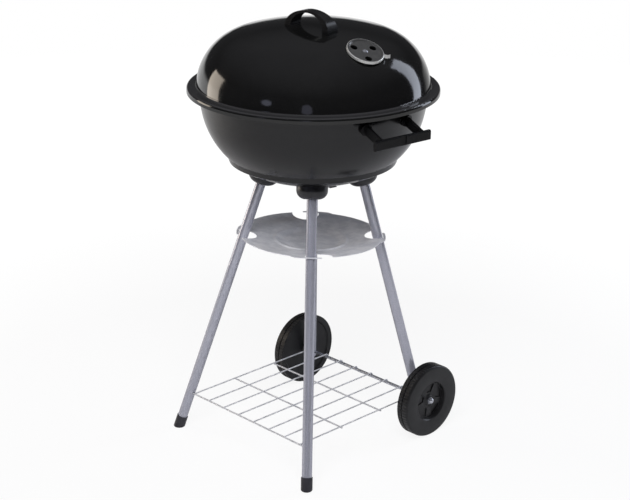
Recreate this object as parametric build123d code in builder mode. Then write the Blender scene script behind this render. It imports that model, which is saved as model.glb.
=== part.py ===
from build123d import *
import os
from math import asin, atan2, cos, degrees, hypot, radians, sin, sqrt, tan

# A kettle charcoal grill: an enamelled bowl and lid on four splayed tube legs, with a twist-on
# ash pan, a wire shelf and two wheels.  Millimetres, +Z up, ground at z = 0, kettle axis on Z.
# +X runs along the axle to the right wheel, +Y is the wheel side, -Y the side with the feet.

# ---- driving dimensions: kettle ----
sheet = 1.2                    # enamelled steel of bowl and lid
kettle_radius = 220.0          # over the lid's turned-down lip
rim_z = 659.0                  # the plane where the lid's flange lies on the bowl's rim
lid_wall_radius = 203.0        # outside of the lid's wall where it leaves the flange
lid_wall_lean = 4.5            # degrees, inward going up
lid_shoulder_radius = 100.0
lid_crown_radius = 480.0
lid_lip_drop = 9.0             # lip below the rim plane

bowl_rim_radius = 212.0        # over the bowl's turned-down edge, inside the lid's lip
bowl_edge_drop = 12.0          # bowl's turned-down edge below the rim plane
bowl_wall_lean = 11.0          # degrees, outward going up
bowl_shoulder_radius = 147.0   # side arc of the bowl, centred off the axis
bowl_shoulder_centre = (50.0, 643.0)
bowl_step_top = (151.0, 536.0)      # a pressed step divides side and bottom dish
bowl_step_foot = (148.0, 526.5)
bowl_bottom_z = 488.0          # lowest point, outside

# ---- driving dimensions: stand ----
tube_radius = 9.0
tube_wall = 1.0
leg_head = (64.5, 480.0)       # every leg's axis passes x = y = 64.5 at z = 480
foot_spread = (171.5, -176.6)  # axis of the foot-side legs at the ground
wheel_leg_spread = (153.5, 151.0)   # axis of the wheel-side legs, carried on to the ground
leg_top_z = 494.0              # leg axis ends here, inside the socket
socket_radius = 27.5
socket_foot_z = 480.0          # the socket's lower face crosses the leg's axis here
socket_round = 16.0
bolt_radius = 3.0

wheel_radius = 68.3
wheel_width = 25.0
wheel_inner_x = 152.4          # inner face of each wheel
axle_radius = 3.0
axle_y = 138.8
axle_z = wheel_radius

shelf_half_width = 140.4
shelf_front_y = -160.8
shelf_z = axle_z + 4.25        # long wires lie on the axle
long_wire_radius = 1.25
cross_wire_radius = 1.5
long_wire_count = 8
cross_wire_count = 3
cross_wire_z = shelf_z - long_wire_radius - cross_wire_radius + 0.35
cross_wire_pitch = 99.8
hub_outer = 19.0               # hub's outer end from the wheel's inner face
hub_radius = 10.0
nut_bore = 3.6
tread_groove = 11.0            # groove round the tread from the wheel's inner face
dish_rim_radius = 36.0
dish_depth = 8.0
back_recess = 2.5              # shallow recess in the wheel's inner face
pocket_depth = 1.8             # blind pockets between the spokes, in the dish's floor

# ---- driving dimensions: ash pan ----
pan_z = 384.7                  # middle of the pan's rim
pan_centre_y = -3.0
pan_tilt = 2.3                 # degrees: it hangs where all four splayed legs fill its cuts
pan_radius = 128.0
pan_sheet = 1.0
pan_cut_radius = 24.5
pan_cut_circle = 121.5
pan_cut_turn = 6.5             # degrees: the cut's centre stands this far ahead of the leg
finger_inner = 129.3
finger_outer = 133.7
finger_start = -16.0           # degrees from the leg
finger_end = 7.4
finger_root_turn = 10.0        # degrees of the finger that stand on the rim
pan_bead_radius = 64.0         # raised bead between the sloping rim and the middle dish
pan_bead_drop = 7.2            # bead's top below the rim
pan_valley_drop = 9.0          # the sloping rim's lowest line, just outside the bead
pan_dish_radius = 50.0
pan_dish_drop = 12.5

# ---- driving dimensions: grips and dampers ----
handle_reach = 236.0           # middle of the side grip from the axis
handle_z = 615.0
handle_root_z = 632.0
handle_half_spacing = 44.0     # arms from the middle of the handle
handle_turn = -6.0             # degrees: the grips stand this far round from the axle's line
grip_length = 119.0
grip_height = 17.0
grip_depth = 7.0
arm_thickness = 4.4
arm_height = 17.0
panel_depth = 1.2              # sunk panel along the grip's outer face
panel_edge = 2.6

lid_handle_centre = (24.0, -30.0)
lid_handle_turn = 5.0          # degrees: the long direction of the handle from +X
lid_handle_half_span = 48.0    # to the outside of each leg
lid_handle_height = 29.5       # over the lid
lid_handle_width = 19.0        # across the grip's top
lid_handle_foot_width = 27.0
lid_handle_strap = 3.6         # thickness at the top
lid_handle_root = 12.5         # thickness of each leg at the lid

vent_reach = 146.0             # lid damper's pivot from the axis, along the floor plan
vent_azimuth = -9.1
vent_disc_radius = 32.3
vent_hole_radius = 6.0
vent_hole_circle = 19.6
vent_hole_turn = 104.0         # degrees of the first hole from the outward direction
vent_tab_turn = 53.0
vent_tab_width = 9.0

vent_pin_radius = 2.0
vent_sheet = 0.8
vent_rivet_radius = 4.8
vent_rivet_height = 2.9
vent_lift = 0.6                # damper's underside over the lid at the pivot
screw_radius = 2.5
lid_screw_reach = 3.5          # lid handle's screws end this far into its feet
rivet_radius = 2.5
bolt_rise = 10.5               # leg bolt's head over the top of the tube, along the leg
cap_length = 22.0

damper_radius = 46.0           # bottom damper
damper_sheet = 1.0
damper_gap = 0.4
damper_hole_radius = 10.0
damper_hole_circle = 28.0
damper_tab_turn = -11.0
damper_tab_reach = 66.0
damper_tab_drop = 0.5          # lever's end below its root

# ---- driving dimensions: grates ----
grate_z = 630.0                # middle of the cooking grate's ring
grate_ring_radius = 188.5
grate_ring_wire = 2.5
grate_bar_wire = 2.0
grate_bar_pitch = 14.4
coal_z = 541.0
coal_wire = 2.5
coal_bar_pitch = 22.0
bracket_width = 18.0
bracket_turns = (45, 135, 225, 315)
bracket_sheet = 1.5
spoke_count = 5

os.makedirs("parts", exist_ok=True)


def save(piece, name):
    """Label one finished piece and write its file."""
    piece.part.label = name
    export_step(piece.part, f"parts/{name}.step")


def polar(radius, angle):
    """Floor-plan point at a radius and an angle in degrees."""
    return (radius * cos(radians(angle)), radius * sin(radians(angle)))


# ---- lid shell ----
lean = radians(lid_wall_lean)
lid_wall_z = rim_z + 5.0
shoulder_x = lid_wall_radius - lid_shoulder_radius * cos(lean)
shoulder_z = lid_wall_z - lid_shoulder_radius * sin(lean)
crown_half_angle = asin(shoulder_x / (lid_crown_radius - lid_shoulder_radius))
crown_centre_z = shoulder_z - (lid_crown_radius - lid_shoulder_radius) * cos(crown_half_angle)
lid_top_z = crown_centre_z + lid_crown_radius


def lid_height(radius):
    """Height of the lid's outside over a point at this radius."""
    if radius < lid_crown_radius * sin(crown_half_angle):
        return crown_centre_z + sqrt(lid_crown_radius**2 - radius**2)
    return shoulder_z + sqrt(lid_shoulder_radius**2 - (radius - shoulder_x) ** 2)


vent_slope = degrees(asin((vent_reach - shoulder_x) / lid_shoulder_radius))
vent_x, vent_y = polar(vent_reach, vent_azimuth)
vent_down = (
    cos(radians(vent_slope)) * cos(radians(vent_azimuth)),
    cos(radians(vent_slope)) * sin(radians(vent_azimuth)),
    -sin(radians(vent_slope)),
)
vent_normal = (
    sin(radians(vent_slope)) * cos(radians(vent_azimuth)),
    sin(radians(vent_slope)) * sin(radians(vent_azimuth)),
    cos(radians(vent_slope)),
)
vent_plane = Plane(origin=(vent_x, vent_y, lid_height(vent_reach)), x_dir=vent_down, z_dir=vent_normal)

lid_handle_x, lid_handle_y = lid_handle_centre
lid_handle_base_z = lid_height(hypot(*lid_handle_centre))
lid_handle_out = polar(1, lid_handle_turn)
lid_handle_plane = Plane(
    origin=(lid_handle_x, lid_handle_y, lid_handle_base_z),
    x_dir=(lid_handle_out[0], lid_handle_out[1], 0),
    z_dir=(lid_handle_out[1], -lid_handle_out[0], 0),
)
lid_handle_end = Plane(
    origin=lid_handle_plane.origin,
    x_dir=(-lid_handle_out[1], lid_handle_out[0], 0),
    z_dir=(lid_handle_out[0], lid_handle_out[1], 0),
)
lid_handle_feet = [
    (
        lid_handle_x + side * (lid_handle_half_span - lid_handle_root / 2) * lid_handle_out[0],
        lid_handle_y + side * (lid_handle_half_span - lid_handle_root / 2) * lid_handle_out[1],
    )
    for side in (-1, 1)
]
kettle_section = Plane.YZ      # sections are turned from here, so no seam meets a hole

# ---- lid ----
with BuildPart() as lid_shell:
    with BuildSketch(kettle_section):
        with BuildLine():
            crown_end = (
                lid_crown_radius * sin(crown_half_angle),
                crown_centre_z + lid_crown_radius * cos(crown_half_angle),
            )
            RadiusArc((0, lid_top_z), crown_end, lid_crown_radius)
            RadiusArc(crown_end, (lid_wall_radius, lid_wall_z), lid_shoulder_radius)
            FilletPolyline(
                (lid_wall_radius, lid_wall_z),
                (lid_wall_radius + 0.3, rim_z + sheet),
                (kettle_radius, rim_z + sheet),
                (kettle_radius, rim_z - lid_lip_drop),
                radius=[3.2, 4.6],
            )
            offset(amount=-sheet, side=Side.RIGHT)
        make_face()
    revolve(axis=Axis.Z)
    with BuildSketch(vent_plane.offset(-8)):
        with PolarLocations(vent_hole_circle, 3, start_angle=vent_hole_turn):
            Circle(vent_hole_radius)
        Circle(vent_pin_radius + 0.1)
    extrude(amount=16, mode=Mode.SUBTRACT)
    with BuildSketch(Plane.XY.offset(lid_top_z - 30)):
        with Locations(*lid_handle_feet):
            Circle(screw_radius + 0.1)
    extrude(amount=40, mode=Mode.SUBTRACT)
save(lid_shell, "lid_shell")

# The lid's solid form, used to seat what stands on its curved face.
with BuildPart() as lid_form:
    with BuildSketch(kettle_section):
        with BuildLine():
            RadiusArc((0, lid_top_z), crown_end, lid_crown_radius)
            RadiusArc(crown_end, (lid_wall_radius, lid_wall_z), lid_shoulder_radius)
            Polyline((lid_wall_radius, lid_wall_z), (0, lid_wall_z), (0, lid_top_z))
        make_face()
    revolve(axis=Axis.Z)

# Lid handle: a moulded arch, thin and narrow at the grip, thick and wide at its two legs.
leg_middle = lid_handle_half_span - lid_handle_root / 2
with BuildPart() as lid_handle:
    with BuildSketch(lid_handle_plane):
        Ellipse(lid_handle_half_span, lid_handle_height)
        Ellipse(
            lid_handle_half_span - lid_handle_root, lid_handle_height - lid_handle_strap, mode=Mode.SUBTRACT
        )
        with Locations((0, -lid_handle_height)):
            Rectangle(4 * lid_handle_half_span, 2 * lid_handle_height, mode=Mode.SUBTRACT)
        with Locations((-leg_middle, 0), (leg_middle, 0)):
            Rectangle(lid_handle_root, 20, align=(Align.CENTER, Align.MAX))
    extrude(amount=lid_handle_foot_width / 2, both=True)
    with BuildSketch(lid_handle_end):
        with BuildLine():
            Polyline(
                (-lid_handle_foot_width / 2, -25),
                (lid_handle_foot_width / 2, -25),
                (lid_handle_foot_width / 2, 0),
                (lid_handle_width / 2, lid_handle_height),
                (-lid_handle_width / 2, lid_handle_height),
                (-lid_handle_foot_width / 2, 0),
                close=True,
            )
        make_face()
    extrude(amount=lid_handle_half_span, both=True, mode=Mode.INTERSECT)
    add(lid_form.part, mode=Mode.SUBTRACT)
    for foot_x, foot_y in lid_handle_feet:
        with BuildSketch(Plane.XY.offset(lid_height(hypot(foot_x, foot_y)) - 10)):
            with Locations((foot_x, foot_y)):
                Circle(screw_radius)
        extrude(amount=10 + lid_screw_reach, mode=Mode.SUBTRACT)
save(lid_handle, "lid_handle")

# Two screws come up through the lid into the handle's feet.
with BuildPart() as lid_handle_screws:
    for foot_x, foot_y in lid_handle_feet:
        under = lid_height(hypot(foot_x, foot_y)) - sheet - 1.4
        with BuildSketch(Plane.XY.offset(under)):
            with Locations((foot_x, foot_y)):
                Circle(screw_radius)
        extrude(amount=sheet + 1.4 + lid_screw_reach)
        with BuildSketch(Plane.XY.offset(under)):
            with Locations((foot_x, foot_y)):
                Circle(4.8)
        extrude(amount=-2.6, taper=18)
save(lid_handle_screws, "lid_handle_screws")

# Lid damper: a pressed cup with a rolled rim, three holes and a finger tab, turning on a rivet.
vent_section = Plane(origin=vent_plane.origin, x_dir=vent_plane.x_dir, z_dir=-vent_plane.y_dir)
vent_tab_out = Vector(*vent_down).rotate(Axis((0, 0, 0), vent_normal), vent_tab_turn)
vent_tab_plane = Plane(
    origin=vent_plane.origin, x_dir=vent_tab_out, z_dir=vent_tab_out.cross(Vector(*vent_normal))
)
with BuildPart() as lid_damper:
    with BuildSketch(vent_section):
        with BuildLine():
            FilletPolyline(
                (vent_pin_radius + 0.05, vent_lift + vent_sheet),
                (vent_disc_radius - 5.2, vent_lift + vent_sheet),
                (vent_disc_radius - 3.2, vent_lift + 3.4),
                (vent_disc_radius, vent_lift + 3.0),
                (vent_disc_radius, -0.6),
                radius=[1.4, 1.2, 1.6],
            )
            offset(amount=-vent_sheet, side=Side.RIGHT)
        make_face()
    revolve(axis=Axis(vent_plane.origin, vent_plane.z_dir))
    with BuildSketch(vent_tab_plane):
        with BuildLine():
            FilletPolyline(
                (vent_disc_radius - 1.6, vent_lift + 1.2),
                (vent_disc_radius + 6, vent_lift + 1.2),
                (vent_disc_radius + 10, vent_lift + 3.8),
                radius=2.5,
            )
            offset(amount=vent_sheet, side=Side.LEFT)
        make_face()
    extrude(amount=vent_tab_width / 2, both=True)
    with BuildSketch(vent_plane):
        with PolarLocations(vent_hole_circle, 3, start_angle=vent_hole_turn):
            Circle(vent_hole_radius)
    extrude(amount=6, mode=Mode.SUBTRACT)
save(lid_damper, "lid_damper")

# The damper's rivet, headed on top and spread under the lid.
rivet_seat = vent_lift + vent_sheet + 0.15
rivet_top = rivet_seat + vent_rivet_height
rivet_sphere = (vent_rivet_radius**2 + vent_rivet_height**2) / (2 * vent_rivet_height)
with BuildPart() as lid_damper_rivet:
    with BuildSketch(vent_section):
        with BuildLine():
            Polyline(
                (0, -sheet - 1.9),
                (4.2, -sheet - 1.9),
                (4.2, -sheet - 0.6),
                (vent_pin_radius, -sheet - 0.6),
                (vent_pin_radius, rivet_seat),
                (vent_rivet_radius, rivet_seat),
            )
            RadiusArc((0, rivet_top), (vent_rivet_radius, rivet_seat), rivet_sphere)
            Line((0, rivet_top), (0, -sheet - 1.9))
        make_face()
    revolve(axis=Axis(vent_plane.origin, vent_plane.z_dir))
save(lid_damper_rivet, "lid_damper_rivet")

# ---- bowl ----
# Section from the turned-down edge over the rim, down the wall, round the shoulder arc, over
# the pressed step and along the bottom dish to the axis.
arc_x, arc_z = bowl_shoulder_centre
wall_angle = radians(bowl_wall_lean)
wall_foot = (
    arc_x + bowl_shoulder_radius * cos(wall_angle),
    arc_z - bowl_shoulder_radius * sin(wall_angle),
)
rim_inset = (rim_z - sheet - wall_foot[1]) * tan(wall_angle)
wall_head = (wall_foot[0] + rim_inset, rim_z - sheet)
dish_rise = bowl_step_foot[1] - bowl_bottom_z
dish_radius = (bowl_step_foot[0] ** 2 + dish_rise**2) / (2 * dish_rise)
dish_centre_z = bowl_bottom_z + dish_radius


def bowl_radius(height):
    """Outside radius of the bowl at a height over the step."""
    if height > wall_foot[1]:
        return wall_foot[0] + (height - wall_foot[1]) * tan(wall_angle)
    return arc_x + sqrt(bowl_shoulder_radius**2 - (height - arc_z) ** 2)


def dish_height(radius):
    """Outside height of the bottom dish at a radius."""
    return dish_centre_z - sqrt(dish_radius**2 - radius**2)


def bowl_side():
    """Outside of the bowl from under the rim down to the axis."""
    RadiusArc(bowl_step_top, wall_foot, -bowl_shoulder_radius)
    Line(bowl_step_top, bowl_step_foot)
    RadiusArc((0, bowl_bottom_z), bowl_step_foot, -dish_radius)


with BuildPart() as bowl_form:
    with BuildSketch(kettle_section):
        with BuildLine():
            bowl_side()
            Polyline(wall_foot, wall_head, (0, rim_z - sheet), (0, bowl_bottom_z))
        make_face()
    revolve(axis=Axis.Z)

leg_feet = {
    "foot_left": (-foot_spread[0], foot_spread[1]),
    "foot_right": (foot_spread[0], foot_spread[1]),
    "wheel_right": (wheel_leg_spread[0], wheel_leg_spread[1]),
    "wheel_left": (-wheel_leg_spread[0], wheel_leg_spread[1]),
}


def sign(value):
    return 1 if value > 0 else -1


def leg_point(foot, height):
    """Point of a leg's axis at a height; foot is where the axis meets the ground."""
    head_xy, head_z = leg_head
    share = height / head_z
    return (
        foot[0] + (sign(foot[0]) * head_xy - foot[0]) * share,
        foot[1] + (sign(foot[1]) * head_xy - foot[1]) * share,
        height,
    )


def leg_plane(foot, height):
    """Plane square to a leg's axis, its normal pointing up the leg."""
    low = Vector(*leg_point(foot, 0))
    high = Vector(*leg_point(foot, 400))
    return Plane(origin=leg_point(foot, height), z_dir=high - low)


def screw_plane(azimuth, side):
    """Where a grip's screw leaves the bowl's wall; side is -1 or 1 along the grip."""
    reach = bowl_radius(handle_root_z)
    turn = azimuth + side * degrees(asin(handle_half_spacing / reach))
    outward = polar(cos(wall_angle), turn)
    return Plane(
        origin=(*polar(reach, turn), handle_root_z), z_dir=(outward[0], outward[1], -sin(wall_angle))
    )


grip_turns = {"right": handle_turn, "left": handle_turn + 180}
side_screw_planes = [screw_plane(turn, side) for turn in grip_turns.values() for side in (-1, 1)]

with BuildPart() as bowl_shell:
    with BuildSketch(kettle_section):
        with BuildLine():
            FilletPolyline(
                (bowl_rim_radius - sheet, rim_z - bowl_edge_drop),
                (bowl_rim_radius - sheet, rim_z - sheet),
                wall_head,
                wall_foot,
                radius=[2.0, 3.0],
            )
            RadiusArc(bowl_step_top, wall_foot, -bowl_shoulder_radius)
            Line(bowl_step_top, bowl_step_foot)
            RadiusArc((0, bowl_bottom_z), bowl_step_foot, -dish_radius)
            offset(amount=sheet, side=Side.RIGHT)
        make_face()
    revolve(axis=Axis.Z)
    for foot in leg_feet.values():
        with BuildSketch(leg_plane(foot, leg_top_z)):
            Circle(bolt_radius + 0.1)
        extrude(amount=30, mode=Mode.SUBTRACT)
    for plane in side_screw_planes:
        with BuildSketch(plane):
            Circle(screw_radius + 0.1)
        extrude(amount=6, both=True, mode=Mode.SUBTRACT)
    with BuildSketch(Plane.XY.offset(bowl_bottom_z - 10)):
        with PolarLocations(damper_hole_circle, 3, start_angle=30):
            Circle(damper_hole_radius)
        Circle(rivet_radius + 0.1)
    extrude(amount=30, mode=Mode.SUBTRACT)
save(bowl_shell, "bowl_shell")

# Bottom damper: a disc dished to the bowl's bottom dish, with three holes and a bent lever.
under = damper_gap + damper_sheet
with BuildPart() as bowl_damper:
    with BuildSketch(kettle_section):
        with BuildLine():
            inner = dish_radius + damper_gap
            outer = dish_radius + under
            edge = asin(damper_radius / inner)
            top_edge = (inner * sin(edge), dish_centre_z - inner * cos(edge))
            low_edge = (outer * sin(edge), dish_centre_z - outer * cos(edge))
            pin_top = (rivet_radius + 0.05, dish_centre_z - sqrt(inner**2 - (rivet_radius + 0.05) ** 2))
            pin_low = (rivet_radius + 0.05, dish_centre_z - sqrt(outer**2 - (rivet_radius + 0.05) ** 2))
            RadiusArc(pin_top, top_edge, -inner)
            Line(top_edge, low_edge)
            RadiusArc(pin_low, low_edge, -outer)
            Line(pin_low, pin_top)
        make_face()
    revolve(axis=Axis.Z)
    lever_out = polar(1, damper_tab_turn)
    lever_plane = Plane(origin=(0, 0, 0), x_dir=(*lever_out, 0), z_dir=(lever_out[1], -lever_out[0], 0))
    lever_z = dish_height(damper_radius) - under
    with BuildSketch(lever_plane):
        with BuildLine():
            FilletPolyline(
                (damper_radius - 9, lever_z - 0.9),
                (damper_radius + 4, lever_z - 0.9),
                (damper_tab_reach - 6, lever_z - damper_tab_drop),
                (damper_tab_reach, lever_z - damper_tab_drop),
                radius=2.0,
            )
            offset(amount=damper_sheet, side=Side.LEFT)
        make_face()
    extrude(amount=7, both=True)
    with BuildSketch(Plane.XY.offset(bowl_bottom_z - 20)):
        with PolarLocations(damper_hole_circle, 3, start_angle=30):
            Circle(damper_hole_radius)
    extrude(amount=40, mode=Mode.SUBTRACT)
save(bowl_damper, "bowl_damper")

with BuildPart() as bowl_damper_rivet:
    with BuildSketch(Plane.XY.offset(bowl_bottom_z - under - 0.2)):
        Circle(rivet_radius)
    extrude(amount=under + sheet + 0.7)
    with BuildSketch(Plane.XY.offset(bowl_bottom_z - under - 0.2)):
        Circle(5.5)
    extrude(amount=-2.4, taper=30)
    with BuildSketch(Plane.XY.offset(bowl_bottom_z + sheet + 0.3)):
        Circle(5.0)
    extrude(amount=1.8, taper=20)
save(bowl_damper_rivet, "bowl_damper_rivet")

# ---- side grips: a slab held out and down by two arms, on round pads against the bowl ----
def build_side_handle(turn):
    """Grip with its sunk panel, two arms and two pads, built over +X and then turned."""
    root = bowl_radius(handle_root_z) - 6
    face = handle_reach + grip_depth / 2 - 1
    with BuildPart() as grip:
        for side in (-1, 1):
            with BuildSketch(Plane.XZ.offset(side * handle_half_spacing)):
                with BuildLine():
                    Polyline(
                        (root, handle_root_z + arm_height / 2 + 1),
                        (face - 2, handle_z + grip_height / 2),
                        (face, handle_z + grip_height / 2 - 2),
                        (face, handle_z - grip_height / 2 + 2),
                        (face - 2, handle_z - grip_height / 2),
                        (root, handle_root_z - arm_height / 2 + 1),
                        (root, handle_root_z + arm_height / 2 + 1),
                    )
                make_face()
            extrude(amount=arm_thickness / 2, both=True)
        with BuildSketch(Plane.XZ):
            with Locations((handle_reach, handle_z)):
                RectangleRounded(grip_depth, grip_height, 2.2)
        extrude(amount=grip_length / 2, both=True)
        with BuildSketch(Plane(origin=(handle_reach + grip_depth / 2, 0, handle_z), z_dir=(1, 0, 0))):
            RectangleRounded(grip_length - 2 * panel_edge, grip_height - 2 * panel_edge, 1.6)
        extrude(amount=-panel_depth, mode=Mode.SUBTRACT)
        for side in (-1, 1):
            with BuildSketch(screw_plane(0, side)):
                Circle(10.5)
            extrude(amount=5.5)
        add(bowl_form.part, mode=Mode.SUBTRACT)
        for side in (-1, 1):
            with BuildSketch(screw_plane(0, side).offset(-3)):
                Circle(screw_radius)
            extrude(amount=3 + 4.5, mode=Mode.SUBTRACT)
    grip.part = grip.part.rotate(Axis.Z, turn)
    return grip


for side_name, turn in grip_turns.items():
    save(build_side_handle(turn), f"side_handle_{side_name}")

with BuildPart() as side_handle_screws:
    for plane in side_screw_planes:
        with BuildSketch(plane.offset(-sheet - 0.3)):
            Circle(screw_radius)
        extrude(amount=sheet + 0.3 + 4.5)
        with BuildSketch(plane.offset(-sheet - 0.3)):
            Circle(4.8)
        extrude(amount=-2.6, taper=18)
save(side_handle_screws, "side_handle_screws")

# ---- legs, their sockets and bolts ----
for name, foot in leg_feet.items():
    with BuildPart() as socket:
        with BuildSketch(leg_plane(foot, socket_foot_z)):
            Circle(socket_radius)
        extrude(amount=50)
        fillet(socket.faces().sort_by(Axis.Z)[0].edges(), socket_round)
        add(bowl_form.part, mode=Mode.SUBTRACT)
        with BuildSketch(leg_plane(foot, leg_top_z)):
            Circle(tube_radius)
        extrude(amount=-30, mode=Mode.SUBTRACT)
        with BuildSketch(leg_plane(foot, leg_top_z)):
            Circle(bolt_radius + 0.1)
        extrude(amount=30, mode=Mode.SUBTRACT)
    save(socket, f"leg_socket_{name}")

    on_wheels = name.startswith("wheel")
    low_z = axle_z - 9.0 if on_wheels else 4.0
    length = (Vector(*leg_point(foot, leg_top_z)) - Vector(*leg_point(foot, low_z))).length
    with BuildPart() as leg:
        with BuildSketch(leg_plane(foot, low_z)):
            Circle(tube_radius)
            Circle(tube_radius - tube_wall, mode=Mode.SUBTRACT)
        extrude(amount=length)
        if on_wheels:
            with BuildSketch(Plane(origin=(0, axle_y, axle_z), z_dir=(1, 0, 0))):
                Circle(axle_radius)
            extrude(amount=sign(foot[0]) * 200, mode=Mode.SUBTRACT)
        else:
            shelf_hole = Plane(origin=(0, shelf_front_y, cross_wire_z), z_dir=(1, 0, 0))
            with BuildSketch(shelf_hole):
                Circle(cross_wire_radius + 0.9)
            extrude(amount=leg_point(foot, cross_wire_z)[0], mode=Mode.SUBTRACT)
    save(leg, f"leg_{name}")

with BuildPart() as leg_bolts:
    for foot in leg_feet.values():
        top = leg_plane(foot, leg_top_z)
        with BuildSketch(top.offset(-10)):
            Circle(bolt_radius)
        extrude(amount=10 + bolt_rise)
        with BuildSketch(top.offset(bolt_rise)):
            RegularPolygon(5.8, 6)
        extrude(amount=4)
        with BuildSketch(top.offset(bolt_rise - 1.2)):
            Circle(8)
        extrude(amount=1.2)
save(leg_bolts, "leg_bolts")

with BuildPart() as leg_nuts:
    for foot in leg_feet.values():
        with BuildSketch(leg_plane(foot, leg_top_z)):
            Circle(tube_radius - tube_wall)
            Circle(bolt_radius, mode=Mode.SUBTRACT)
        extrude(amount=-8)
save(leg_nuts, "leg_nuts")

for name in ("foot_left", "foot_right"):
    foot = leg_feet[name]
    with BuildPart() as cap:
        with BuildSketch(leg_plane(foot, cap_length)):
            Circle(tube_radius + 1.2)
        extrude(amount=-cap_length - 12)
        split(bisect_by=Plane.XY, keep=Keep.TOP)
        fillet(cap.faces().sort_by(Axis.Z)[0].edges(), 2.0)
        with BuildSketch(leg_plane(foot, 4.0)):
            Circle(tube_radius)
        extrude(amount=cap_length + 20, mode=Mode.SUBTRACT)
    save(cap, f"cap_{name}")

# ---- ash pan: a pressed sheet held on the splayed legs by four hooked fingers ----
# Each leg stands in a round cut; a finger reaches round outside it, and past the finger's tip
# the cut is open, so the pan comes free when it is turned back until the legs meet the gaps.
pan_turns = [
    degrees(atan2(leg_point(foot, pan_z)[1] - pan_centre_y, leg_point(foot, pan_z)[0]))
    for foot in leg_feet.values()
]
with BuildSketch(Plane.XY) as pan_outline:
    Circle(pan_radius)
    for turn in pan_turns:
        with Locations(polar(pan_cut_circle, turn + pan_cut_turn)):
            Circle(pan_cut_radius, mode=Mode.SUBTRACT)
    for turn in pan_turns:
        first, last = turn + finger_start, turn + finger_end
        finger_turn = finger_end - finger_start
        with BuildLine():
            CenterArc((0, 0), finger_outer, first + 4, finger_turn - 4)
            Line(polar(finger_outer, last), polar(finger_inner, last))
            CenterArc((0, 0), finger_inner, first, finger_turn)
            Line(polar(finger_inner, first), polar(finger_outer, first + 4))
        make_face()
        with BuildLine():
            # Root: carries the finger down to the pan's own rim.
            CenterArc((0, 0), finger_inner + 0.5, first, finger_root_turn)
            Line(polar(finger_inner + 0.5, first + finger_root_turn), polar(pan_radius - 5, first + finger_root_turn))
            CenterArc((0, 0), pan_radius - 5, first, finger_root_turn)
            Line(polar(pan_radius - 5, first), polar(finger_inner + 0.5, first))
        make_face()
        with Locations(polar((finger_inner + finger_outer) / 2, last)):
            Circle((finger_outer - finger_inner) / 2)

with BuildPart() as ash_pan:
    with BuildSketch(Plane.YZ):
        with BuildLine():
            FilletPolyline(
                (0, -pan_dish_drop - 0.8),
                (pan_dish_radius, -pan_dish_drop),
                (pan_bead_radius - 4.5, -pan_valley_drop),
                (pan_bead_radius, -pan_bead_drop),
                (pan_bead_radius + 4.5, -pan_valley_drop),
                (pan_radius - 2, 0),
                (finger_outer + 1, 0),
                radius=[9, 2.5, 2, 2.5, 6],
            )
            offset(amount=-pan_sheet, side=Side.RIGHT)
        make_face()
    revolve(axis=Axis.Z)
    extrude(pan_outline.sketch, amount=40, both=True, mode=Mode.INTERSECT)
ash_pan.part = Pos(0, pan_centre_y, pan_z) * Rot(-pan_tilt, 0, 0) * ash_pan.part
save(ash_pan, "ash_pan")

# ---- wire shelf: long wires hooked over the axle, cross wires under them ----
hook_radius = shelf_z - axle_z
with BuildPart() as wire_shelf:
    for index in range(long_wire_count):
        wire_x = shelf_half_width * (2 * index / (long_wire_count - 1) - 1)
        wire_plane = Plane(origin=(wire_x, 0, 0), x_dir=(0, 1, 0), z_dir=(1, 0, 0))
        with BuildLine(wire_plane) as run:
            if index in (0, long_wire_count - 1):
                Line((shelf_front_y - 1.5, shelf_z), (axle_y - tube_radius - 2.5, shelf_z))
            else:
                Line((shelf_front_y - 1.5, shelf_z), (axle_y, shelf_z))
                CenterArc((axle_y, axle_z), hook_radius, 90, -100)
        with BuildSketch(Plane(origin=run.line @ 0, z_dir=run.line % 0)):
            Circle(long_wire_radius)
        sweep(path=run.line)
    for index in range(cross_wire_count):
        wire_y = shelf_front_y + index * cross_wire_pitch
        reach = leg_point(leg_feet["foot_right"], shelf_z)[0] if index == 0 else shelf_half_width + 1.5
        with BuildSketch(Plane(origin=(0, wire_y, cross_wire_z), z_dir=(1, 0, 0))):
            Circle(cross_wire_radius)
        extrude(amount=reach, both=True)
save(wire_shelf, "wire_shelf")

# ---- axle and wheels ----
axle_end = wheel_inner_x + hub_outer + 1.5 + nut_bore
with BuildPart() as axle:
    with BuildSketch(Plane(origin=(0, axle_y, axle_z), z_dir=(1, 0, 0))):
        Circle(axle_radius)
    extrude(amount=axle_end, both=True)
save(axle, "axle")

with BuildPart() as axle_nuts:
    for side in (-1, 1):
        face = side * (wheel_inner_x + hub_outer + 0.3)
        with BuildSketch(Plane(origin=(face, axle_y, axle_z), z_dir=(side, 0, 0))):
            Circle(6.2)
        extrude(amount=1.2)
        with BuildSketch(Plane(origin=(face + side * 1.2, axle_y, axle_z), z_dir=(side, 0, 0))):
            Circle(5.6)
        extrude(amount=5.6)
        fillet(axle_nuts.faces().sort_by(Axis.X)[-1 if side > 0 else 0].edges(), 4.2)
    with BuildSketch(Plane(origin=(0, axle_y, axle_z), z_dir=(1, 0, 0))):
        Circle(axle_radius)
    extrude(amount=axle_end, both=True, mode=Mode.SUBTRACT)
save(axle_nuts, "axle_nuts")

with BuildPart() as axle_spacers:
    for side in (-1, 1):
        face = side * (wheel_inner_x - 0.2)
        with BuildSketch(Plane(origin=(face, axle_y, axle_z), x_dir=(0, 1, 0), z_dir=(-side, 0, 0))):
            Circle(5.2)
            Circle(axle_radius, mode=Mode.SUBTRACT)
        extrude(amount=0.9)
save(axle_spacers, "axle_spacers")


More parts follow.
